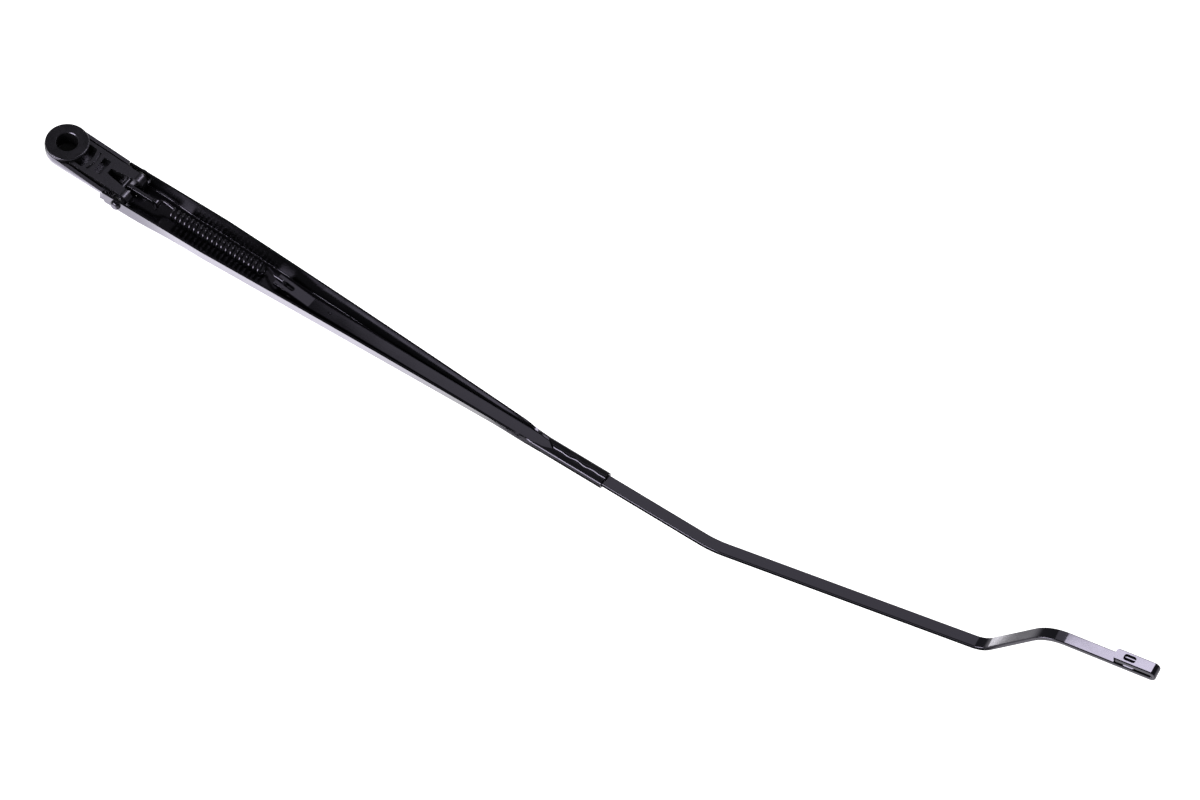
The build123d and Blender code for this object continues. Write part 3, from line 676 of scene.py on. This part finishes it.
def add(tree, kind, inputs, **settings):
    """Adds a node with its settings; inputs holds values or sockets to link from, by name or number."""
    node = tree.nodes.new(kind)
    for key, value in settings.items():
        setattr(node, key, value)
    for key, value in inputs.items():
        if isinstance(value, bpy.types.NodeSocket):
            tree.links.new(value, node.inputs[key])
        else:
            node.inputs[key].default_value = value
    return node


def new_material(name):
    """An empty node material and its tree."""
    material = bpy.data.materials.new(name)
    material.use_nodes = True
    tree = material.node_tree
    tree.nodes.clear()
    return material, tree


# Sockets of a Mix node that mixes colours, which share their names with others
MIX_FACTOR, MIX_A, MIX_B, MIX_RESULT = 0, 6, 7, 2


def shade(rgb, factor):
    """A colour made darker or paler, as RGBA."""
    return (*(min(v * factor, 1) for v in rgb), 1)


def powder_coat(finish):
    """Gloss powder coat on sheet steel, sprayed and baked: deep black, slight orange peel and some dust."""
    material, tree = new_material("Powder coat, gloss black")
    place = add(tree, "ShaderNodeTexCoord", {}).outputs["Object"]
    peel = add(tree, "ShaderNodeTexNoise", {
        "Vector": place, "Scale": 1 / (1.6 * MM), "Detail": 2, "Roughness": 0.5,
    })
    bump = add(tree, "ShaderNodeBump", {
        "Height": peel.outputs["Fac"], "Strength": 0.05, "Distance": 0.1 * MM,
    })
    haze = add(tree, "ShaderNodeTexNoise", {
        "Vector": place, "Scale": 1 / (22 * MM), "Detail": 5, "Roughness": 0.6,
    })
    rough = add(tree, "ShaderNodeMapRange", {
        "Value": haze.outputs["Fac"], "From Min": 0.3, "From Max": 0.7, "To Min": 0.13, "To Max": 0.24,
    })
    tint = add(tree, "ShaderNodeMix", {
        MIX_FACTOR: haze.outputs["Fac"],
        MIX_A: shade(finish.channel, 0.8),
        MIX_B: shade(finish.channel, 1.4),
    }, data_type="RGBA")
    shader = add(tree, "ShaderNodeBsdfPrincipled", {
        "Base Color": tint.outputs[MIX_RESULT],
        "Roughness": rough.outputs[0],
        "Normal": bump.outputs[0],
        "IOR": 1.5,
        "Specular Tint": (*finish.gleam, 1),
    })
    add(tree, "ShaderNodeOutputMaterial", {"Surface": shader.outputs[0]})
    return material


def dip_coat(finish):
    """Dip coat on drawn strip steel: thin gloss black through which the lengthwise draw lines still show."""
    material, tree = new_material("Dip coat on drawn steel")
    place = add(tree, "ShaderNodeTexCoord", {}).outputs["Object"]
    along = add(tree, "ShaderNodeMapping", {"Vector": place, "Scale": (0.03, 1, 1)})
    # Real draw lines are finer; half a millimetre is as fine as shows in the picture
    draw = add(tree, "ShaderNodeTexNoise", {
        "Vector": along.outputs[0], "Scale": 1 / (0.5 * MM), "Detail": 3, "Roughness": 0.55,
    })
    bump = add(tree, "ShaderNodeBump", {
        "Height": draw.outputs["Fac"], "Strength": 0.06, "Distance": 0.05 * MM,
    })
    cloud = add(tree, "ShaderNodeTexNoise", {
        "Vector": place, "Scale": 1 / (14 * MM), "Detail": 4, "Roughness": 0.55,
    })
    rough = add(tree, "ShaderNodeMapRange", {
        "Value": cloud.outputs["Fac"], "From Min": 0.3, "From Max": 0.7, "To Min": 0.06, "To Max": 0.12,
    })
    tint = add(tree, "ShaderNodeMix", {
        MIX_FACTOR: draw.outputs["Fac"],
        MIX_A: shade(finish.rod, 0.85),
        MIX_B: shade(finish.rod, 1.2),
    }, data_type="RGBA")
    shader = add(tree, "ShaderNodeBsdfPrincipled", {
        "Base Color": tint.outputs[MIX_RESULT],
        "Roughness": rough.outputs[0],
        "Normal": bump.outputs[0],
        "IOR": 1.55,
        "Specular Tint": (*finish.gleam, 1),
    })
    add(tree, "ShaderNodeOutputMaterial", {"Surface": shader.outputs[0]})
    return material


def casting_coat(finish):
    """Gloss coat on a zinc die casting: fine pebbled grain from the die under uneven gloss black paint."""
    material, tree = new_material("Gloss coat on die cast zinc")
    place = add(tree, "ShaderNodeTexCoord", {}).outputs["Object"]
    grain = add(tree, "ShaderNodeTexNoise", {
        "Vector": place, "Scale": 1 / (0.45 * MM), "Detail": 3, "Roughness": 0.6,
    })
    bump = add(tree, "ShaderNodeBump", {
        "Height": grain.outputs["Fac"], "Strength": 0.2, "Distance": 0.06 * MM,
    })
    cloud = add(tree, "ShaderNodeTexNoise", {
        "Vector": place, "Scale": 1 / (6 * MM), "Detail": 4, "Roughness": 0.6,
    })
    rough = add(tree, "ShaderNodeMapRange", {
        "Value": cloud.outputs["Fac"], "From Min": 0.3, "From Max": 0.7, "To Min": 0.2, "To Max": 0.34,
    })
    tint = add(tree, "ShaderNodeMix", {
        MIX_FACTOR: cloud.outputs["Fac"],
        MIX_A: shade(finish.casting, 0.7),
        MIX_B: shade(finish.casting, 1.35),
    }, data_type="RGBA")
    shader = add(tree, "ShaderNodeBsdfPrincipled", {
        "Base Color": tint.outputs[MIX_RESULT],
        "Roughness": rough.outputs[0],
        "Normal": bump.outputs[0],
        "IOR": 1.58,
        "Specular Tint": (*finish.gleam, 1),
    })
    add(tree, "ShaderNodeOutputMaterial", {"Surface": shader.outputs[0]})
    return material


def spring_steel(finish):
    """Dip paint on drawn spring wire and stampings: gloss black, thin and a little uneven."""
    material, tree = new_material("Dip paint on spring steel")
    place = add(tree, "ShaderNodeTexCoord", {}).outputs["Object"]
    oxide = add(tree, "ShaderNodeTexNoise", {
        "Vector": place, "Scale": 1 / (2.5 * MM), "Detail": 4, "Roughness": 0.6,
    })
    rough = add(tree, "ShaderNodeMapRange", {
        "Value": oxide.outputs["Fac"], "From Min": 0.3, "From Max": 0.7, "To Min": 0.14, "To Max": 0.26,
    })
    tint = add(tree, "ShaderNodeMix", {
        MIX_FACTOR: oxide.outputs["Fac"],
        MIX_A: shade(finish.steel, 0.6),
        MIX_B: shade(finish.steel, 1.2),
    }, data_type="RGBA")
    shader = add(tree, "ShaderNodeBsdfPrincipled", {
        "Base Color": tint.outputs[MIX_RESULT],
        "Roughness": rough.outputs[0],
        "IOR": 1.6,
        "Specular Tint": (*finish.gleam, 1),
    })
    add(tree, "ShaderNodeOutputMaterial", {"Surface": shader.outputs[0]})
    return material


def nylon(finish):
    """Moulded black nylon: soft sheen and a faint mould texture."""
    material, tree = new_material("Moulded nylon")
    place = add(tree, "ShaderNodeTexCoord", {}).outputs["Object"]
    grain = add(tree, "ShaderNodeTexNoise", {"Vector": place, "Scale": 1 / (0.6 * MM), "Detail": 2})
    bump = add(tree, "ShaderNodeBump", {
        "Height": grain.outputs["Fac"], "Strength": 0.15, "Distance": 0.04 * MM,
    })
    rough = add(tree, "ShaderNodeMapRange", {"Value": grain.outputs["Fac"], "To Min": 0.42, "To Max": 0.55})
    shader = add(tree, "ShaderNodeBsdfPrincipled", {
        "Base Color": (*finish.nylon, 1),
        "Roughness": rough.outputs[0],
        "Normal": bump.outputs[0],
        "IOR": 1.53,
    })
    add(tree, "ShaderNodeOutputMaterial", {"Surface": shader.outputs[0]})
    return material


# Rounding of the edges that the die and the press leave, and the angles in degrees that tell them from flats
CAST_EDGE = 0.45 * MM
STAMPED_EDGE = 0.4 * MM
EDGE_ANGLE, FLAT_ANGLE = 35, 0.5


class WIPER_OT_eased(bpy.types.Operator):
    """Makes the cast head and the stamped link with the eased edges that paint and die leave on them"""

    bl_idname = "wiper.eased"
    bl_label = "Eased pieces"

    def execute(self, context):
        finish = context.scene.wiper_finish
        self.ease("head_casting", "mounting_head", CAST_EDGE, casting_coat(finish))
        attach(bpy.data.objects["head_casting"], "head")
        self.ease("link_stamping", "spring_link", STAMPED_EDGE, spring_steel(finish))
        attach(bpy.data.objects["link_stamping"], "link")
        return {"FINISHED"}

    @staticmethod
    def ease(name, node, width, material):
        """A copy of a solid's surface: doubles merged, flat areas joined, and edges rounded off."""
        piece = bpy.data.objects.new(name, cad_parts[node].data.copy())
        bpy.context.scene.collection.objects.link(piece)
        merge_doubles(piece, SAME_POINT)
        work = bmesh.new()
        work.from_mesh(piece.data)
        flat = np.radians(FLAT_ANGLE)
        bmesh.ops.dissolve_limit(work, angle_limit=flat, verts=work.verts, edges=work.edges)
        work.to_mesh(piece.data)
        work.free()
        bevel = piece.modifiers.new("edges", "BEVEL")
        bevel.width = width
        bevel.segments = 2
        bevel.limit_method = "ANGLE"
        bevel.angle_limit = np.radians(EDGE_ANGLE)
        bevel.use_clamp_overlap = True
        settle(piece, sharp=40)
        flat_areas(piece)
        piece.data.materials.clear()
        piece.data.materials.append(material)
        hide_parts(node)


class WIPER_OT_fittings(bpy.types.Operator):
    """Gives the cap, rivets and bushes their finishes"""

    bl_idname = "wiper.fittings"
    bl_label = "Fittings"

    def execute(self, context):
        finish = context.scene.wiper_finish
        steel, plastic = spring_steel(finish), nylon(finish)
        for name, material in {
            "nut_cap": plastic,
            "pivot_rivet_near": steel,
            "pivot_rivet_far": steel,
            "pivot_bush_near": plastic,
            "pivot_bush_far": plastic,
        }.items():
            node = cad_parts[name]
            node.data.materials.clear()
            node.data.materials.append(material)
        return {"FINISHED"}


# The camera's view and the picture's right-hand direction
FORWARD = Vector((-0.342, 0.461, -0.819)).normalized()
RIGHT = FORWARD.cross((0, 0, 1)).normalized()

# The camera's distance in metres, far enough for a view that is almost without perspective
CAMERA_AWAY = 18.0

# The picture's width in pixels, its scale at the arm, and the width of the sensor in millimetres
PICTURE_WIDE = 1200
PIXELS_TO_MM = 1.852
SENSOR = 36

# A point on the arm, and where the picture's middle lies to the right of it and above it
ARM_MIDDLE = Vector((0.34, 0.02, 0))
MIDDLE_RIGHT, MIDDLE_UP = 4.44 * MM, 12.33 * MM

# Half the floor's side and its height, and the black card's extent and height, in metres
FLOOR_HALF, FLOOR_Z = 30, -0.85
CARD_X, CARD_Y, CARD_Z = (0.19, 0.56), (-0.34, 0), -0.3


class WIPER_OT_stage(bpy.types.Operator):
    """Makes the white studio: floor, background, black card, softboxes and camera"""

    bl_idname = "wiper.stage"
    bl_label = "Stage"

    def execute(self, context):
        scene = context.scene
        scene.view_settings.view_transform = "Standard"
        self.world(scene)
        self.floor(scene)
        self.flag()
        self.lamps(scene)
        self.camera(scene)
        return {"FINISHED"}

    @staticmethod
    def seen(tree):
        """1 for rays from the camera, from gloss and through glass, which all see the white background."""
        path = add(tree, "ShaderNodeLightPath", {})
        both = add(tree, "ShaderNodeMath", {
            0: path.outputs["Is Camera Ray"], 1: path.outputs["Is Glossy Ray"],
        }, operation="MAXIMUM")
        every = add(tree, "ShaderNodeMath", {
            0: both.outputs[0], 1: path.outputs["Is Transmission Ray"],
        }, operation="MAXIMUM")
        return every.outputs[0]

    def world(self, scene):
        """White to the camera; to gloss white near the horizon and dim overhead; even fill to the rest."""
        world = bpy.data.worlds.new("White studio")
        world.use_nodes = True
        tree = world.node_tree
        tree.nodes.clear()
        way = add(tree, "ShaderNodeTexCoord", {})
        height = add(tree, "ShaderNodeSeparateXYZ", {"Vector": way.outputs["Generated"]})
        path = add(tree, "ShaderNodeLightPath", {})
        ceiling = add(tree, "ShaderNodeMapRange", {
            "Value": height.outputs["Z"], "From Min": 0.02, "From Max": 0.22, "To Min": 1.0, "To Max": 0.1,
        })
        gloss = add(tree, "ShaderNodeMix", {
            "Factor": path.outputs["Is Camera Ray"], "A": ceiling.outputs[0], "B": 1.0,
        })
        strength = add(tree, "ShaderNodeMix", {"Factor": self.seen(tree), "A": 0.6, "B": gloss.outputs[0]})
        light = add(tree, "ShaderNodeBackground", {"Color": (1, 1, 1, 1), "Strength": strength.outputs[0]})
        add(tree, "ShaderNodeOutputWorld", {"Surface": light.outputs[0]})
        scene.world = world

    @staticmethod
    def sheet(name, x, y, z):
        """A level rectangle between two values of x and of y, facing up."""
        x, y = np.meshgrid(x, y)
        piece = make_mesh(name, np.stack([x, y, 0 * x + z], -1), grid_faces(2, 2).tolist())
        piece.data.flip_normals()
        return piece

    def floor(self, scene):
        """A level square that the lifted arm stays clear of, and that is clear when seen from below."""
        side = (-FLOOR_HALF, FLOOR_HALF)
        floor = self.sheet("floor", side, side, FLOOR_Z)
        material, tree = new_material("Matt white studio floor")
        white = add(tree, "ShaderNodeBsdfDiffuse", {"Color": (*scene.wiper_finish.floor, 1)})
        glow = add(tree, "ShaderNodeEmission", {"Color": (1, 1, 1, 1), "Strength": 0.6})
        dark = add(tree, "ShaderNodeEmission", {"Color": (1, 1, 1, 1), "Strength": 0})
        shown = add(tree, "ShaderNodeMixShader", {
            0: self.seen(tree), 1: dark.outputs[0], 2: glow.outputs[0],
        })
        both = add(tree, "ShaderNodeAddShader", {0: white.outputs[0], 1: shown.outputs[0]})
        face = add(tree, "ShaderNodeNewGeometry", {})
        clear = add(tree, "ShaderNodeBsdfTransparent", {})
        from_below = add(tree, "ShaderNodeMixShader", {
            0: face.outputs["Backfacing"], 1: both.outputs[0], 2: clear.outputs[0],
        })
        add(tree, "ShaderNodeOutputMaterial", {"Surface": from_below.outputs[0]})
        floor.data.materials.append(material)

    def flag(self):
        """A black card below the strip that only gloss sees: it keeps the strip's near side dark."""
        card = self.sheet("flag", CARD_X, CARD_Y, CARD_Z)
        material, tree = new_material("Matt black card")
        black = add(tree, "ShaderNodeBsdfDiffuse", {"Color": (0, 0, 0, 1)})
        add(tree, "ShaderNodeOutputMaterial", {"Surface": black.outputs[0]})
        card.data.materials.append(material)
        card.visible_camera = False
        card.visible_diffuse = False
        card.visible_shadow = False

    @staticmethod
    def lamps(scene):
        """Softboxes: place, point aimed at and size in metres, power in watts, and colour.

        The key lights the near side, the bounce the strip's upper face, the tip lamp the run above the step,
        the rise lamp the step itself, and the table lamp the near wall from below."""
        white = (1, 1, 1)
        tinted = scene.wiper_finish.gleam
        for name, place, target, size, power, tint in (
            ("key", (-0.19, -1.03, 0.57), (0.25, 0, 0), (0.9, 0.5), 24, white),
            ("bounce", (-0.14, 0.82, 1.4), (0.45, 0.03, 0), (0.5, 0.5), 0.66, white),
            ("tip", (0.393, 0.84, 1.4), (0.393, 0.84, 0), (0.36, 0.5), 8.5, white),
            ("rise", (0.2135, 0.1775, -0.084), (0.6, 0.035, 0), (0.02, 0.014), 0.006, white),
            ("table", (-0.17, -0.17, -0.55), (0.05, 0, 0), (0.5, 0.5), 1.2, tinted),
        ):
            lamp = bpy.data.lights.new(name, "AREA")
            lamp.shape = "RECTANGLE"
            lamp.size, lamp.size_y = size
            lamp.energy = power
            lamp.color = tint
            box = bpy.data.objects.new(name, lamp)
            box.visible_camera = False
            box.location = place
            box.rotation_euler = (Vector(target) - Vector(place)).to_track_quat("-Z", "Y").to_euler()
            scene.collection.objects.link(box)

    @staticmethod
    def camera(scene):
        """A long lens from the photograph's direction, set to the picture's scale at the arm."""
        lens = bpy.data.cameras.new("camera")
        lens.sensor_width = SENSOR
        lens.lens = PIXELS_TO_MM * SENSOR / PICTURE_WIDE * CAMERA_AWAY / MM
        lens.clip_end = 200
        down = FORWARD.cross(RIGHT)
        middle = ARM_MIDDLE + RIGHT * MIDDLE_RIGHT - down * MIDDLE_UP
        view = Matrix((RIGHT, -down, -FORWARD)).transposed().to_4x4()
        view.translation = middle - FORWARD * CAMERA_AWAY
        camera = bpy.data.objects.new("camera", lens)
        camera.matrix_world = view
        scene.collection.objects.link(camera)
        scene.camera = camera


class WIPER_PT_panel(bpy.types.Panel):
    """Lists the pieces of the wiper arm and their sizes"""

    bl_idname = "WIPER_PT_panel"
    bl_label = "Wiper arm"
    bl_space_type = "VIEW_3D"
    bl_region_type = "UI"
    bl_category = "Wiper arm"

    def draw(self, context):
        for operator in OPERATORS:
            self.layout.operator(operator.bl_idname)
        for group in GROUPS:
            box = self.layout.box()
            sizes = getattr(context.scene, group)
            for name in sizes.__annotations__:
                box.prop(sizes, name)


OPERATORS = (
    WIPER_OT_stage,
    WIPER_OT_channel,
    WIPER_OT_rod,
    WIPER_OT_spring,
    WIPER_OT_eased,
    WIPER_OT_fittings,
)
CLASSES = (*GROUPS.values(), *OPERATORS, WIPER_PT_panel)


def register():
    """Registers the classes and hangs the sizes and colours on the scene."""
    for item in CLASSES:
        bpy.utils.register_class(item)
    for name, group in GROUPS.items():
        setattr(bpy.types.Scene, name, bpy.props.PointerProperty(type=group))


def unregister():
    """Takes the sizes and colours off the scene and the classes out again."""
    for name in GROUPS:
        delattr(bpy.types.Scene, name)
    for item in reversed(CLASSES):
        bpy.utils.unregister_class(item)


def main():
    """Builds the stage and every piece in order."""
    register()
    bpy.ops.wiper.stage()
    bpy.ops.wiper.channel()
    bpy.ops.wiper.rod()
    bpy.ops.wiper.spring()
    bpy.ops.wiper.eased()
    bpy.ops.wiper.fittings()


if __name__ == "__main__":
    main()
